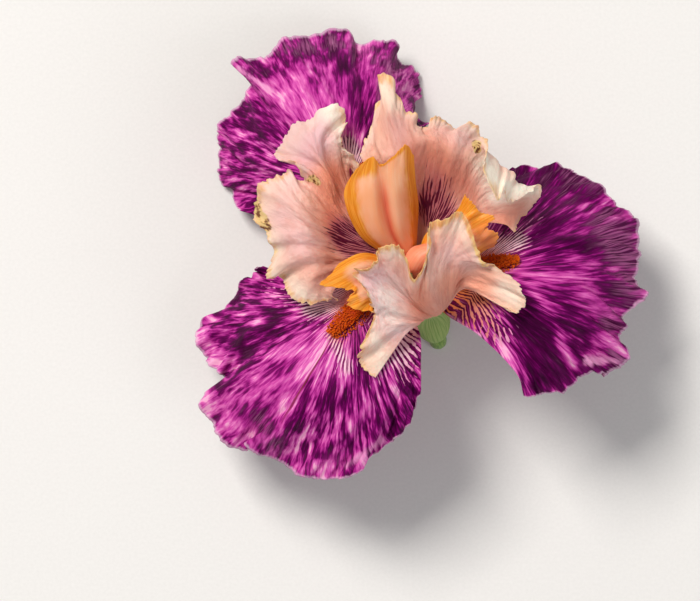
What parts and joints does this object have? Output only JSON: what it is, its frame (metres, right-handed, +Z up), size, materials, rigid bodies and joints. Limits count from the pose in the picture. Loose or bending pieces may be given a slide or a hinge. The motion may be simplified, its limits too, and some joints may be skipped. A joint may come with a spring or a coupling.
{
  "type": "bearded iris bloom",
  "caption": "Open bearded iris bloom lying face up: ruffled arching falls with furry beards, frilled upright standards, crested style arms, and a short green ovary with papery bracts.",
  "frame": {"origin": "on the surface that the bloom lies on, under the middle of its bounding box", "axes": "+Z up, off the surface, the way the bloom faces; +Y towards the back fall, +X towards the right fall"},
  "size_m": [0.1558, 0.1571, 0.081],
  "materials": {
    "fall_magenta": "soft petal, violet splashes on magenta and pale pink",
    "standard_peach": "soft petal, peach pink with a cream frilled edge",
    "style_apricot": "soft petal, apricot with golden crests",
    "beard_orange": "dense short hairs, burnt orange",
    "stamen_cream": "matte, cream",
    "tube_green": "waxy, pale green",
    "ovary_green": "waxy, green",
    "spathe_green": "papery bract, green"
  },
  "bodies": {
    "root": {"fall_back": "fall_magenta", "fall_right": "fall_magenta", "fall_left": "fall_magenta", "standard_right": "standard_peach", "standard_left": "standard_peach", "standard_front": "standard_peach", "style_arm_back": "style_apricot", "style_arm_right": "style_apricot", "style_arm_left": "style_apricot", "style_column": "style_apricot", "beard_back": "beard_orange", "beard_right": "beard_orange", "beard_left": "beard_orange", "stamen_back": "stamen_cream", "stamen_right": "stamen_cream", "stamen_left": "stamen_cream", "perianth_tube": "tube_green", "ovary": "ovary_green", "stem_stub": "ovary_green", "spathe_outer": "spathe_green", "spathe_inner": "spathe_green"}
  },
  "joints": []
}
